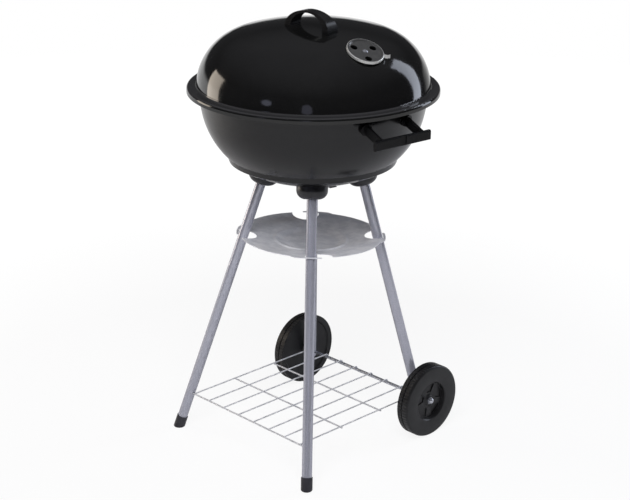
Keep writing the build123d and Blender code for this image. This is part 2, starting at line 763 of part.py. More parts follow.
def build_wheel(side):
    """Moulded wheel: grooved tread, a dished outer face with blind pockets, a flat recess behind."""
    axis = Axis((0, axle_y, axle_z), (1, 0, 0))
    section = Plane(
        origin=(side * wheel_inner_x, axle_y, axle_z), x_dir=(side, 0, 0), z_dir=(0, -side, 0)
    )
    dish_x = wheel_width - dish_depth
    with BuildPart() as wheel:
        with BuildSketch(section):
            with BuildLine():
                Polyline(
                    (0, wheel_radius - 4.0),
                    (0, wheel_radius - 0.8),
                    (0.8, wheel_radius),
                    (tread_groove - 1.2, wheel_radius),
                    (tread_groove - 0.8, wheel_radius - 1.4),
                    (tread_groove + 0.8, wheel_radius - 1.4),
                    (tread_groove + 1.2, wheel_radius),
                    (wheel_width - 4.0, wheel_radius),
                )
                RadiusArc(
                    (wheel_width - 4.0, wheel_radius), (wheel_width - 0.4, wheel_radius - 4.4), 4.4
                )
                RadiusArc(
                    (wheel_width - 0.4, wheel_radius - 4.4),
                    (wheel_width - 0.8, dish_rim_radius + 1.5),
                    120,
                )
                Polyline(
                    (wheel_width - 0.8, dish_rim_radius + 1.5),
                    (wheel_width - 2.2, dish_rim_radius),
                    (dish_x, dish_rim_radius - 1.5),
                    (dish_x, hub_radius + 3),
                    (hub_outer - 0.8, hub_radius),
                    (hub_outer, hub_radius - 0.8),
                    (hub_outer, axle_radius + 0.05),
                    (0, axle_radius + 0.05),
                    (0, hub_radius + 1.0),
                    (back_recess, hub_radius + 2.5),
                    (back_recess, wheel_radius - 12.5),
                    (0, wheel_radius - 10.5),
                    (0, wheel_radius - 4.0),
                )
            make_face()
        revolve(axis=axis)
        floor = Plane(
            origin=(side * (wheel_inner_x + dish_x), axle_y, axle_z),
            x_dir=(0, 1, 0),
            z_dir=(side, 0, 0),
        )
        with BuildSketch(floor):
            for index in range(spoke_count):
                add(wheel_window.sketch, rotation=90 + index * 360 / spoke_count)
        extrude(amount=-pocket_depth, mode=Mode.SUBTRACT)
    return wheel


with BuildSketch(Plane.XY) as wheel_window:
    with BuildLine():
        window = 360 / spoke_count - 26
        CenterArc((0, 0), dish_rim_radius - 4.5, -window / 2, window)
        CenterArc((0, 0), hub_radius + 6.0, 6 - window / 2, window - 12)
        for end in (-1, 1):
            Line(
                polar(dish_rim_radius - 4.5, end * window / 2),
                polar(hub_radius + 6.0, end * (window / 2 - 6)),
            )
    make_face()

for side_name, side in (("right", 1), ("left", -1)):
    save(build_wheel(side), f"wheel_{side_name}")

# ---- grates ----
with BuildPart() as cooking_grate:
    with BuildSketch(Plane.XY.offset(grate_z)):
        Circle(grate_ring_radius + grate_ring_wire)
        Circle(grate_ring_radius - grate_ring_wire, mode=Mode.SUBTRACT)
    extrude(amount=grate_ring_wire, both=True)
    side_bars = int(grate_ring_radius / grate_bar_pitch)
    with BuildSketch(Plane.XY.offset(grate_z)):
        for index in range(-side_bars, side_bars + 1):
            bar_x = index * grate_bar_pitch
            with Locations((bar_x, 0)):
                Rectangle(2 * grate_bar_wire, 2 * sqrt(grate_ring_radius**2 - bar_x**2))
    extrude(amount=grate_bar_wire, both=True)
    with BuildSketch(Plane.XY.offset(grate_z - grate_bar_wire + 0.2)):
        for bar_y in (-grate_ring_radius * 0.42, grate_ring_radius * 0.42):
            with Locations((0, bar_y)):
                Rectangle(2 * sqrt(grate_ring_radius**2 - bar_y**2) - 2, 2 * grate_bar_wire)
    extrude(amount=-2 * grate_bar_wire)
save(cooking_grate, "cooking_grate")

with BuildPart() as grate_handles:
    for side in (-1, 1):
        low_y = side * sqrt(grate_ring_radius**2 - 42**2)
        base = grate_z + grate_ring_wire - 0.2
        with BuildLine() as loop:
            FilletPolyline(
                (-42, low_y, base),
                (-34, low_y - side * 5, base + 22),
                (34, low_y - side * 5, base + 22),
                (42, low_y, base),
                radius=8,
            )
        with BuildSketch(Plane(origin=loop.line @ 0, z_dir=loop.line % 0)):
            Circle(grate_ring_wire)
        sweep(path=loop.line)
    split(bisect_by=Plane.XY.offset(grate_z + grate_ring_wire + 0.02), keep=Keep.TOP)
save(grate_handles, "grate_handles")

coal_ring_radius = arc_x - 0.4 + sqrt((bowl_shoulder_radius - sheet - coal_wire) ** 2 - (arc_z - coal_z) ** 2)
with BuildPart() as charcoal_grate:
    with BuildSketch(Plane.YZ):
        with Locations((coal_ring_radius, coal_z)):
            Circle(coal_wire)
    revolve(axis=Axis.Z)
    side_bars = int(coal_ring_radius / coal_bar_pitch)
    for index in range(-side_bars, side_bars + 1):
        bar_y = index * coal_bar_pitch
        with BuildSketch(Plane(origin=(0, bar_y, coal_z), z_dir=(1, 0, 0))):
            Circle(coal_wire)
        extrude(amount=sqrt(coal_ring_radius**2 - bar_y**2) - 0.7, both=True)
    with BuildSketch(Plane(origin=(0, 0, coal_z - 2 * coal_wire + 0.4), z_dir=(0, 1, 0))):
        Circle(coal_wire)
    extrude(amount=side_bars * coal_bar_pitch + 3, both=True)
save(charcoal_grate, "charcoal_grate")

with BuildPart() as grate_brackets:
    tab_top = grate_z - grate_ring_wire - 0.1
    for turn in bracket_turns:
        out = polar(1, turn)
        with BuildSketch(Plane(origin=(0, 0, 0), x_dir=(*out, 0), z_dir=(out[1], -out[0], 0))):
            with BuildLine():
                FilletPolyline(
                    (bowl_radius(609) - sheet - 0.6, 609),
                    (bowl_radius(tab_top) - sheet - 0.6, tab_top),
                    (176, tab_top),
                    radius=2.5,
                )
                offset(amount=bracket_sheet, side=Side.LEFT)
            make_face()
        extrude(amount=bracket_width / 2, both=True)
save(grate_brackets, "grate_brackets")
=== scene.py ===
# Kettle charcoal grill, dressed for show: fired enamel, moulded plastics, painted tube, welded wire and
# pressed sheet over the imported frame, with the fine pieces that the frame leaves plain.  Metres, +Z up.
from math import cos, pi, radians, sin

import bmesh
import bpy
from mathutils import Matrix, Vector


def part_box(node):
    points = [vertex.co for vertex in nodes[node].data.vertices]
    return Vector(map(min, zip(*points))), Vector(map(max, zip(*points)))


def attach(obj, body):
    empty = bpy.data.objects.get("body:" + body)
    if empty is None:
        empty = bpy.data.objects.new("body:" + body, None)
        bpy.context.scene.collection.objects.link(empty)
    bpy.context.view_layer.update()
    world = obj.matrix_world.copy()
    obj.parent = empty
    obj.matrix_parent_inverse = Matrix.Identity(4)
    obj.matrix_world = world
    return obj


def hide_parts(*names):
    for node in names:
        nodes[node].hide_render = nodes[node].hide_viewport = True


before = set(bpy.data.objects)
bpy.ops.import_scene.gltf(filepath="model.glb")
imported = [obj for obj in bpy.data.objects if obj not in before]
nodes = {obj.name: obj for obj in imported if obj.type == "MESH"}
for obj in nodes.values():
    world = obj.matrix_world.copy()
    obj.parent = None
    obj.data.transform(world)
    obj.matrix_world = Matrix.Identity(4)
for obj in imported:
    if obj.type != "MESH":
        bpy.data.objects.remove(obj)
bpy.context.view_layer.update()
mm = 0.001


# ---------------------------------------------------------------- helpers

def linear(hex_colour):
    """An sRGB hex colour as the linear RGBA that a shader takes."""
    parts = [int(hex_colour[i:i + 2], 16) / 255 for i in (1, 3, 5)]
    return [c / 12.92 if c <= 0.04045 else ((c + 0.055) / 1.055) ** 2.4 for c in parts] + [1.0]


def add(tree, kind, values={}, links={}, **attributes):
    """Adds one node: attributes first, then the values and the incoming links of its inputs."""
    node = tree.nodes.new(kind)
    for name, value in attributes.items():
        setattr(node, name, value)
    for name, value in values.items():
        node.inputs[name].default_value = value
    for name, source in links.items():
        tree.links.new(source, node.inputs[name])
    return node


def finish(name, **sockets):
    """A named material with its shader's plain values set."""
    made = bpy.data.materials.new(name)
    made.use_nodes = True
    shader = made.node_tree.nodes["Principled BSDF"]
    for socket, value in sockets.items():
        shader.inputs[socket.replace("_", " ")].default_value = value
    return made, made.node_tree, shader


def corner(name):
    """Lowest and highest corners of a CAD node, as vectors."""
    low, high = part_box(name)
    return Vector(low), Vector(high)


# ---------------------------------------------------------------- camera

camera_azimuth = radians(45.49)     # from -Y towards +X
camera_height = radians(20.51)
camera_roll = radians(0.5)
camera_distance = 2.9586
camera_aim = (0.00517, -0.04399)    # of the view's middle from the axis, sideways and upward
camera_lens = 94.54
sensor_width = 36
aim_height = 0.4                    # of the point on the kettle's axis that the aim is measured from

backward = Vector((sin(camera_azimuth) * cos(camera_height), -cos(camera_azimuth) * cos(camera_height),
                   sin(camera_height)))
sideways = Vector((cos(camera_azimuth), sin(camera_azimuth), 0))
upward = backward.cross(sideways)
aim = Vector((0, 0, aim_height)) + sideways * camera_aim[0] + upward * camera_aim[1]
rolled_side = sideways * cos(camera_roll) + upward * sin(camera_roll)
rolled_up = upward * cos(camera_roll) - sideways * sin(camera_roll)
view = bpy.data.cameras.new("view")
view.lens = camera_lens
view.sensor_width = sensor_width
view.clip_end = 50
camera = bpy.data.objects.new("view", view)
bpy.context.scene.collection.objects.link(camera)
turn = Matrix((rolled_side, rolled_up, backward)).transposed().to_4x4()
camera.matrix_world = Matrix.Translation(aim + backward * camera_distance) @ turn
bpy.context.scene.camera = camera
bpy.context.scene.view_settings.view_transform = "Standard"


# ---------------------------------------------------------------- lamps

kettle_middle = 0.6                 # height that the lamps face


def softbox(name, azimuth, height, away, wide, tall, radiance, colour, mirrored=True, shape="RECTANGLE"):
    """An area lamp that faces the kettle.  Azimuth runs from +X towards +Y, height is the degrees above the
    horizon, radiance is that of the lamp's face, and only a mirrored lamp shows in glossy surfaces."""
    lamp = bpy.data.lights.new(name, "AREA")
    lamp.shape = shape
    lamp.size = wide
    lamp.size_y = tall
    lamp.energy = radiance * pi * wide * tall * (pi / 4 if shape == "ELLIPSE" else 1)
    lamp.color = linear(colour)[:3]
    made = bpy.data.objects.new(name, lamp)
    bpy.context.scene.collection.objects.link(made)
    a, h = radians(azimuth), radians(height)
    toward = Vector((cos(a) * cos(h), sin(a) * cos(h), sin(h)))
    made.location = Vector((0, 0, kettle_middle)) + toward * away
    made.rotation_euler = toward.to_track_quat("Z", "Y").to_euler()
    made.visible_glossy = mirrored


softbox("left_softbox", azimuth=-154, height=4, away=2.2, wide=0.78, tall=1.15, radiance=4.2,
        colour="#fff1e0")
softbox("right_softbox", azimuth=71, height=15, away=2.2, wide=0.60, tall=1.90, radiance=3.6,
        colour="#e9f0ff")
softbox("front_lamp", azimuth=-88, height=8, away=2.4, wide=0.34, tall=0.40, radiance=1.5,
        colour="#dfe4ff", shape="ELLIPSE")
softbox("eye_lamp", azimuth=-50, height=2, away=2.42, wide=0.40, tall=0.74, radiance=0.8,
        colour="#e0e2ff", shape="ELLIPSE")
softbox("overhead_fill", azimuth=-60, height=70, away=2.6, wide=2.4, tall=2.4, radiance=0.4,
        colour="#ffffff", mirrored=False)
softbox("front_fill", azimuth=-50, height=45, away=3.2, wide=2.4, tall=1.6, radiance=6.4,
        colour="#fbfbff", mirrored=False)


# ---------------------------------------------------------------- studio and floor

studio = bpy.data.worlds.new("studio")
bpy.context.scene.world = studio
studio.use_nodes = True
tree = studio.node_tree
tree.nodes.clear()
looking = add(tree, "ShaderNodeTexCoord").outputs["Generated"]
height = add(tree, "ShaderNodeSeparateXYZ", links={"Vector": looking}).outputs["Z"]
# Reflections show white paper behind and to the left, up to the horizon, in a dim room that pales upward.
paper_direction = (-0.906, 0.423, 0.0)
behind = add(tree, "ShaderNodeVectorMath", {1: paper_direction}, {0: looking}, operation="DOT_PRODUCT")
paper_side = add(tree, "ShaderNodeMapRange", {"From Min": 0.45, "From Max": 0.85},
                 {"Value": behind.outputs["Value"]})
paper_top = add(tree, "ShaderNodeMapRange",
                {"From Min": -0.02, "From Max": 0.05, "To Min": 1.0, "To Max": 0.0}, {"Value": height})
papered = add(tree, "ShaderNodeMath", links={0: paper_side.outputs[0], 1: paper_top.outputs[0]},
              operation="MULTIPLY")
upper = add(tree, "ShaderNodeMapRange", {"From Min": 0.35, "From Max": 1.0}, {"Value": height})
room = add(tree, "ShaderNodeMix", {6: linear("#38383a"), 7: linear("#848488")}, {0: upper.outputs[0]},
           data_type="RGBA")
walls = add(tree, "ShaderNodeMix", {7: linear("#fafafa")}, {0: papered.outputs[0], 6: room.outputs[2]},
            data_type="RGBA")
room_light = add(tree, "ShaderNodeBackground", {"Strength": 1.0}, {"Color": walls.outputs[2]})
# The camera itself sees plain white behind the grill.
backdrop = add(tree, "ShaderNodeBackground", {"Color": (1, 1, 1, 1), "Strength": 1.0})
rays = add(tree, "ShaderNodeLightPath")
surroundings = add(tree, "ShaderNodeMixShader",
                   links={0: rays.outputs["Is Camera Ray"], 1: room_light.outputs[0],
                          2: backdrop.outputs[0]})
add(tree, "ShaderNodeOutputWorld", links={"Surface": surroundings.outputs[0]})


paper_radius = 3.0
shaded_reach = 0.7                  # from the axis: the camera sees the paper's shading most within this
open_reach = 1.6                    # beyond this the paper is all white
white_near_grill = 0.84             # share of plain white that the camera sees within shaded_reach
far_reflection = 0.95               # reflections show the paper brighter from here outwards
white_in_reflections = 0.55         # share of plain white that they show beyond open_reach


def paper_floor():
    """A round sheet of white paper under the grill."""
    mesh = bpy.data.meshes.new("paper_floor")
    sheet = bmesh.new()
    bmesh.ops.create_circle(sheet, cap_ends=True, segments=96, radius=paper_radius)
    sheet.to_mesh(mesh)
    sheet.free()
    floor = bpy.data.objects.new("paper_floor", mesh)
    bpy.context.scene.collection.objects.link(floor)
    # Uncoated white paper: pale, quite matt.
    made, tree, shader = finish("white_paper", Base_Color=linear("#e6e6e6"), Roughness=0.9)
    glow = add(tree, "ShaderNodeEmission", {"Color": (1, 1, 1, 1), "Strength": 1.05})
    rays = add(tree, "ShaderNodeLightPath")
    place = add(tree, "ShaderNodeTexCoord").outputs["Object"]
    away = add(tree, "ShaderNodeVectorMath", links={0: place}, operation="LENGTH")
    # Near the grill the camera sees a little of the paper's own shading and of the grill's shadow; further
    # out the paper is as white as the backdrop, so that its edge doesn't show.
    open_paper = add(tree, "ShaderNodeMapRange",
                     {"From Min": shaded_reach, "From Max": open_reach,
                      "To Min": white_near_grill, "To Max": 1.0},
                     {"Value": away.outputs["Value"]})
    straight = add(tree, "ShaderNodeMath",
                   links={0: rays.outputs["Is Camera Ray"], 1: open_paper.outputs[0]}, operation="MULTIPLY")
    far_paper = add(tree, "ShaderNodeMapRange",
                    {"From Min": far_reflection, "From Max": open_reach,
                     "To Min": 0.0, "To Max": white_in_reflections},
                    {"Value": away.outputs["Value"]})
    mirrored = add(tree, "ShaderNodeMath",
                   links={0: rays.outputs["Is Glossy Ray"], 1: far_paper.outputs[0]}, operation="MULTIPLY")
    share = add(tree, "ShaderNodeMath", links={0: straight.outputs[0], 1: mirrored.outputs[0]},
                operation="ADD")
    mixed = add(tree, "ShaderNodeMixShader",
                links={0: share.outputs[0], 1: shader.outputs[0], 2: glow.outputs[0]})
    tree.links.new(mixed.outputs[0], tree.nodes["Material Output"].inputs["Surface"])
    floor.data.materials.append(made)


paper_floor()


# ---------------------------------------------------------------- finishes

flange_top = 661.4 * mm             # where the lid's dome turns into its flat flange
above_the_grill = 1.0               # a height that leaves a piece without the painted highlight band
# height of the grey band painted under the lid's flange as a highlight
painted_highlight_band = 3.4 * mm


def fired_enamel(name, deep, haze, roughness, painted_highlight_below):
    """Porcelain enamel sprayed and fired on steel: near-black glass that mirrors the lamps sharply, over a
    slight orange-peel ripple that makes their edges waver, with a faint grey haze in soft clouds."""
    made, tree, shader = finish(name, IOR=1.5)
    place = add(tree, "ShaderNodeTexCoord").outputs["Object"]
    cloud = add(tree, "ShaderNodeTexNoise", {"Scale": 1 / (90 * mm), "Detail": 3.0, "Roughness": 0.6},
                {"Vector": place})
    colour = add(tree, "ShaderNodeMix", {6: linear(deep), 7: linear(haze)}, {0: cloud.outputs["Fac"]},
                 data_type="RGBA")
    # A narrow band under the given height, where the lid's flange turns flat, is painted greyer than the
    # dome.
    # This is a painted highlight that stands in for the bright line the lamps draw along the flange.
    axes = add(tree, "ShaderNodeSeparateXYZ", links={"Vector": place})
    flange = add(tree, "ShaderNodeMapRange",
                 {"From Min": painted_highlight_below, "From Max": painted_highlight_below + 1.2 * mm, "To Min": 1.0, "To Max": 0.0},
                 {"Value": axes.outputs["Z"]})
    lip = add(tree, "ShaderNodeMapRange",
              {"From Min": painted_highlight_below - painted_highlight_band, "From Max": painted_highlight_below - painted_highlight_band + 1.0 * mm},
              {"Value": axes.outputs["Z"]})
    thin_spot_or_painted_highlight = add(tree, "ShaderNodeMath", links={0: flange.outputs[0], 1: lip.outputs[0]}, operation="MULTIPLY")
    shade = add(tree, "ShaderNodeMix", {7: linear("#343435")}, {0: thin_spot_or_painted_highlight.outputs[0], 6: colour.outputs[2]},
                data_type="RGBA")
    tree.links.new(shade.outputs[2], shader.inputs["Base Color"])
    smear = add(tree, "ShaderNodeMapRange",
                {"From Min": 0.35, "From Max": 0.7, "To Min": roughness * 0.8, "To Max": roughness * 1.5},
                {"Value": cloud.outputs["Fac"]})
    tree.links.new(smear.outputs[0], shader.inputs["Roughness"])
    # Orange peel a few millimetres across, with broader waves left by the pressing under it.
    peel = add(tree, "ShaderNodeTexNoise", {"Scale": 1 / (5 * mm), "Detail": 2.0}, {"Vector": place})
    wave = add(tree, "ShaderNodeTexNoise", {"Scale": 1 / (38 * mm), "Detail": 1.0}, {"Vector": place})
    broad = add(tree, "ShaderNodeBump", {"Distance": 0.22 * mm}, {"Height": wave.outputs["Fac"]})
    fine = add(tree, "ShaderNodeBump", {"Distance": 0.008 * mm},
               {"Height": peel.outputs["Fac"], "Normal": broad.outputs["Normal"]})
    tree.links.new(fine.outputs["Normal"], shader.inputs["Normal"])
    return made


def grained_moulding(name, colour, worn, roughness, grain, shine=0.5):
    """Moulded thermoset or plastic: even dark body, soft broad sheen, and the eroded grain of the mould,
    a little paler in soft patches where wear has dulled it."""
    made, tree, shader = finish(name, Roughness=roughness, IOR=1.5, Specular_IOR_Level=shine)
    place = add(tree, "ShaderNodeTexCoord").outputs["Object"]
    dull = add(tree, "ShaderNodeTexNoise", {"Scale": 1 / (26 * mm), "Detail": 4.0, "Roughness": 0.65},
               {"Vector": place})
    share = add(tree, "ShaderNodeMapRange", {"From Min": 0.42, "From Max": 0.68},
                {"Value": dull.outputs["Fac"]})
    shade = add(tree, "ShaderNodeMix", {6: linear(colour), 7: linear(worn)}, {0: share.outputs[0]},
                data_type="RGBA")
    tree.links.new(shade.outputs[2], shader.inputs["Base Color"])
    pits = add(tree, "ShaderNodeTexNoise", {"Scale": 1 / grain, "Detail": 3.0}, {"Vector": place})
    relief = add(tree, "ShaderNodeBump", {"Distance": 0.035 * mm}, {"Height": pits.outputs["Fac"]})
    tree.links.new(relief.outputs["Normal"], shader.inputs["Normal"])
    return made


tread_ribs = 72                     # one to every 6 mm: coarser than the mould's, so that they show
tread_start = 67.2 * mm             # distance from the axle at which the ribs begin
tread_full = 67.9 * mm


def ribbed_tyre(name, axle_height, axle_back):
    """Blow-moulded polypropylene wheel: satin black, with the tread's fine cross ribs, which catch the lamps
    as a row of short bright lines, and a faint dusty bloom in patches."""
    made, tree, shader = finish(name, Roughness=0.36, IOR=1.49)
    place = add(tree, "ShaderNodeTexCoord").outputs["Object"]
    axes = add(tree, "ShaderNodeSeparateXYZ", links={"Vector": place})
    back = add(tree, "ShaderNodeMath", {1: axle_back}, {0: axes.outputs["Y"]}, operation="SUBTRACT")
    high = add(tree, "ShaderNodeMath", {1: axle_height}, {0: axes.outputs["Z"]}, operation="SUBTRACT")
    angle = add(tree, "ShaderNodeMath", links={0: high.outputs[0], 1: back.outputs[0]}, operation="ARCTAN2")
    many = add(tree, "ShaderNodeMath", {1: tread_ribs}, {0: angle.outputs[0]}, operation="MULTIPLY")
    rib = add(tree, "ShaderNodeMath", links={0: many.outputs[0]}, operation="SINE")
    crest = add(tree, "ShaderNodeMapRange", {"From Min": -0.35, "From Max": 0.35}, {"Value": rib.outputs[0]})
    across = add(tree, "ShaderNodeMath", {1: 2.0}, {0: back.outputs[0]}, operation="POWER")
    along = add(tree, "ShaderNodeMath", {1: 2.0}, {0: high.outputs[0]}, operation="POWER")
    both = add(tree, "ShaderNodeMath", links={0: across.outputs[0], 1: along.outputs[0]}, operation="ADD")
    reach = add(tree, "ShaderNodeMath", links={0: both.outputs[0]}, operation="SQRT")
    on_tread = add(tree, "ShaderNodeMapRange", {"From Min": tread_start, "From Max": tread_full},
                   {"Value": reach.outputs[0]})
    height = add(tree, "ShaderNodeMath", links={0: crest.outputs[0], 1: on_tread.outputs[0]},
                 operation="MULTIPLY")
    relief = add(tree, "ShaderNodeBump", {"Distance": 0.5 * mm}, {"Height": height.outputs[0]})
    grain = add(tree, "ShaderNodeTexNoise", {"Scale": 1 / (1.5 * mm), "Detail": 3.0}, {"Vector": place})
    eroded = add(tree, "ShaderNodeBump", {"Distance": 0.03 * mm},
                 {"Height": grain.outputs["Fac"], "Normal": relief.outputs["Normal"]})
    tree.links.new(eroded.outputs["Normal"], shader.inputs["Normal"])
    bloom = add(tree, "ShaderNodeTexNoise", {"Scale": 1 / (18 * mm), "Detail": 4.0}, {"Vector": place})
    share = add(tree, "ShaderNodeMapRange", {"From Min": 0.4, "From Max": 0.75},
                {"Value": bloom.outputs["Fac"]})
    shade = add(tree, "ShaderNodeMix", {6: linear("#151516"), 7: linear("#1f1f20")}, {0: share.outputs[0]},
                data_type="RGBA")
    tree.links.new(shade.outputs[2], shader.inputs["Base Color"])
    return made


def silver_painted_tube(name):
    """Steel tube under baked aluminium-flake paint: pale cool silver, half metal and half chalky, with a
    broad satin streak down each tube and a fine sparkle of flakes."""
    made, tree, shader = finish(name, Metallic=0.42, Roughness=0.2)
    place = add(tree, "ShaderNodeTexCoord").outputs["Object"]
    # The flakes are 0.05 mm; they are drawn at 0.8 mm so that they show.
    flake = add(tree, "ShaderNodeTexNoise", {"Scale": 1 / (0.8 * mm), "Detail": 2.0}, {"Vector": place})
    share = add(tree, "ShaderNodeMapRange", {"From Min": 0.35, "From Max": 0.65},
                {"Value": flake.outputs["Fac"]})
    shade = add(tree, "ShaderNodeMix", {6: linear("#aeafba"), 7: linear("#c6c7d2")}, {0: share.outputs[0]},
                data_type="RGBA")
    tree.links.new(shade.outputs[2], shader.inputs["Base Color"])
    relief = add(tree, "ShaderNodeBump", {"Distance": 0.008 * mm}, {"Height": flake.outputs["Fac"]})
    tree.links.new(relief.outputs["Normal"], shader.inputs["Normal"])
    return made


def aluminised_sheet(name):
    """Hot-dip aluminised steel, pressed: pale and mostly chalky, softly mirrored, with cloudy blotches from
    the dip and a slight waviness from the press."""
    made, tree, shader = finish(name, Metallic=0.14)
    place = add(tree, "ShaderNodeTexCoord").outputs["Object"]
    blotch = add(tree, "ShaderNodeTexNoise", {"Scale": 1 / (22 * mm), "Detail": 5.0, "Roughness": 0.62},
                 {"Vector": place})
    share = add(tree, "ShaderNodeMapRange", {"From Min": 0.38, "From Max": 0.64},
                {"Value": blotch.outputs["Fac"]})
    shade = add(tree, "ShaderNodeMix", {6: linear("#e2e3e8"), 7: linear("#fbfbfe")}, {0: share.outputs[0]},
                data_type="RGBA")
    tree.links.new(shade.outputs[2], shader.inputs["Base Color"])
    satin = add(tree, "ShaderNodeMapRange",
                {"From Min": 0.38, "From Max": 0.64, "To Min": 0.42, "To Max": 0.30},
                {"Value": blotch.outputs["Fac"]})
    tree.links.new(satin.outputs[0], shader.inputs["Roughness"])
    wave = add(tree, "ShaderNodeTexNoise", {"Scale": 1 / (14 * mm), "Detail": 1.0}, {"Vector": place})
    dent = add(tree, "ShaderNodeBump", {"Distance": 0.10 * mm}, {"Height": wave.outputs["Fac"]})
    tree.links.new(dent.outputs["Normal"], shader.inputs["Normal"])
    return made


def stamped_damper(name, middle, rim_start):
    """Stamped sheet steel: dull and smoky out to rim_start, and from there a near-white painted highlight
    along the edge, standing in for the light that the turned rim catches.
    """
    made, tree, shader = finish(name, Metallic=0.7, Roughness=0.3)
    place = add(tree, "ShaderNodeTexCoord").outputs["Object"]
    reach = add(tree, "ShaderNodeVectorMath", {1: middle}, {0: place}, operation="DISTANCE")
    soot = add(tree, "ShaderNodeTexNoise", {"Scale": 1 / (9 * mm), "Detail": 4.0}, {"Vector": place})
    smoky = add(tree, "ShaderNodeMix", {6: linear("#5c5c5d"), 7: linear("#7e7e7c")},
                {0: soot.outputs["Fac"]}, data_type="RGBA")
    painted_rim_highlight = add(tree, "ShaderNodeMapRange", {"From Min": rim_start, "From Max": rim_start + 0.8 * mm},
               {"Value": reach.outputs["Value"]})
    # The near-white rim is a painted highlight, not a colour that the steel has.
    shade = add(tree, "ShaderNodeMix", {7: linear("#f2f2ee")}, {0: painted_rim_highlight.outputs[0], 6: smoky.outputs[2]},
                data_type="RGBA")
    tree.links.new(shade.outputs[2], shader.inputs["Base Color"])
    relief = add(tree, "ShaderNodeBump", {"Distance": 0.03 * mm}, {"Height": soot.outputs["Fac"]})
    tree.links.new(relief.outputs["Normal"], shader.inputs["Normal"])
    return made


def plated_steel(name, dark, bright, metallic, roughness, lump):
    """Plated or bare steel wire, bar and sheet: a little wavy, and darker where the surface is thin or
    scaled, in lumps of the given size."""
    made, tree, shader = finish(name, Metallic=metallic, Roughness=roughness)
    place = add(tree, "ShaderNodeTexCoord").outputs["Object"]
    thin_spot_or_painted_highlight = add(tree, "ShaderNodeTexNoise", {"Scale": 1 / lump, "Detail": 3.0}, {"Vector": place})
    share = add(tree, "ShaderNodeMapRange", {"From Min": 0.36, "From Max": 0.64},
                {"Value": thin_spot_or_painted_highlight.outputs["Fac"]})
    shade = add(tree, "ShaderNodeMix", {6: linear(dark), 7: linear(bright)}, {0: share.outputs[0]},
                data_type="RGBA")
    tree.links.new(shade.outputs[2], shader.inputs["Base Color"])
    relief = add(tree, "ShaderNodeBump", {"Distance": 0.02 * mm}, {"Height": thin_spot_or_painted_highlight.outputs["Fac"]})
    tree.links.new(relief.outputs["Normal"], shader.inputs["Normal"])
    return made


axle_low, axle_high = corner("axle")
axle_height = (axle_low.z + axle_high.z) / 2
axle_back = (axle_low.y + axle_high.y) / 2
vent_low, vent_high = corner("lid_damper_rivet")
vent_middle = (vent_low + vent_high) / 2
vent_rim_start = 30.6 * mm          # from the vent's middle; the disc ends 1.7 mm further out
legs = ("foot_left", "foot_right", "wheel_left", "wheel_right")

lid_enamel = fired_enamel("fired_enamel_lid", "#0e0e0e", "#191919", 0.085, flange_top)
bowl_enamel = fired_enamel("fired_enamel_bowl", "#080809", "#0f0f10", 0.15, above_the_grill)
lid_grip = grained_moulding("bakelite_lid_grip", "#121213", "#1d1d1e", 0.24, 1.1 * mm)
side_grip = grained_moulding("glass_filled_nylon_grip", "#060607", "#0e0e10", 0.42, 1.4 * mm, 0.25)
socket_moulding = grained_moulding("phenolic_leg_socket", "#232326", "#2e2e31", 0.30, 1.6 * mm)
foot_cap = grained_moulding("polyethylene_foot_cap", "#2a2a2f", "#38383e", 0.45, 1.2 * mm)
wheel_moulding = ribbed_tyre("polypropylene_wheel", axle_height, axle_back)
tube_paint = silver_painted_tube("aluminium_flake_paint")
pan_sheet = aluminised_sheet("aluminised_pan_sheet")
shelf_wire = plated_steel("nickel_plated_shelf_wire", "#cfd0d3", "#f0f0f2", 0.3, 0.3, 9 * mm)
fastener = plated_steel("zinc_plated_fastener", "#b9bcc4", "#e2e4ea", 0.85, 0.24, 4 * mm)
lid_vent_plate = stamped_damper("stamped_lid_damper", vent_middle, vent_rim_start)
bowl_vent_plate = plated_steel("stamped_bowl_damper", "#5c5c5d", "#7e7e7c", 0.7, 0.32, 9 * mm)
grate_chrome = plated_steel("chromed_grate_wire", "#bcbdc0", "#dedfe2", 0.9, 0.2, 8 * mm)
grate_bare = plated_steel("bare_coal_grate_wire", "#77777a", "#98999c", 0.8, 0.42, 10 * mm)

wearers = {
    lid_enamel: ["lid_shell"],
    bowl_enamel: ["bowl_shell"],
    lid_grip: ["lid_handle"],
    side_grip: ["side_handle_right", "side_handle_left"],
    socket_moulding: ["leg_socket_" + leg for leg in legs],
    tube_paint: ["leg_" + leg for leg in legs],
    foot_cap: ["cap_foot_left", "cap_foot_right"],
    pan_sheet: ["ash_pan"],
    shelf_wire: ["wire_shelf"],
    wheel_moulding: ["wheel_left", "wheel_right"],
    fastener: ["axle", "axle_nuts", "axle_spacers", "leg_bolts", "leg_nuts", "side_handle_screws",
               "lid_handle_screws", "bowl_damper_rivet", "lid_damper_rivet"],
    lid_vent_plate: ["lid_damper"],
    bowl_vent_plate: ["bowl_damper"],
    grate_chrome: ["cooking_grate", "grate_handles"],
    grate_bare: ["charcoal_grate", "grate_brackets"],
}
for made, names in wearers.items():
    for name in names:
        for spot in nodes[name].material_slots:
            spot.material = made


# ---------------------------------------------------------------- pieces made by rule

def new_group(name, sizes):
    """An empty geometry tree with named inputs; returns it, its input node's outputs and its output node."""
    group = bpy.data.node_groups.new(name, "GeometryNodeTree")
    group.interface.new_socket(name="Geometry", in_out="OUTPUT", socket_type="NodeSocketGeometry")
    for label, kind in sizes.items():
        group.interface.new_socket(name=label, in_out="INPUT", socket_type=kind)
    return group, add(group, "NodeGroupInput").outputs, add(group, "NodeGroupOutput")


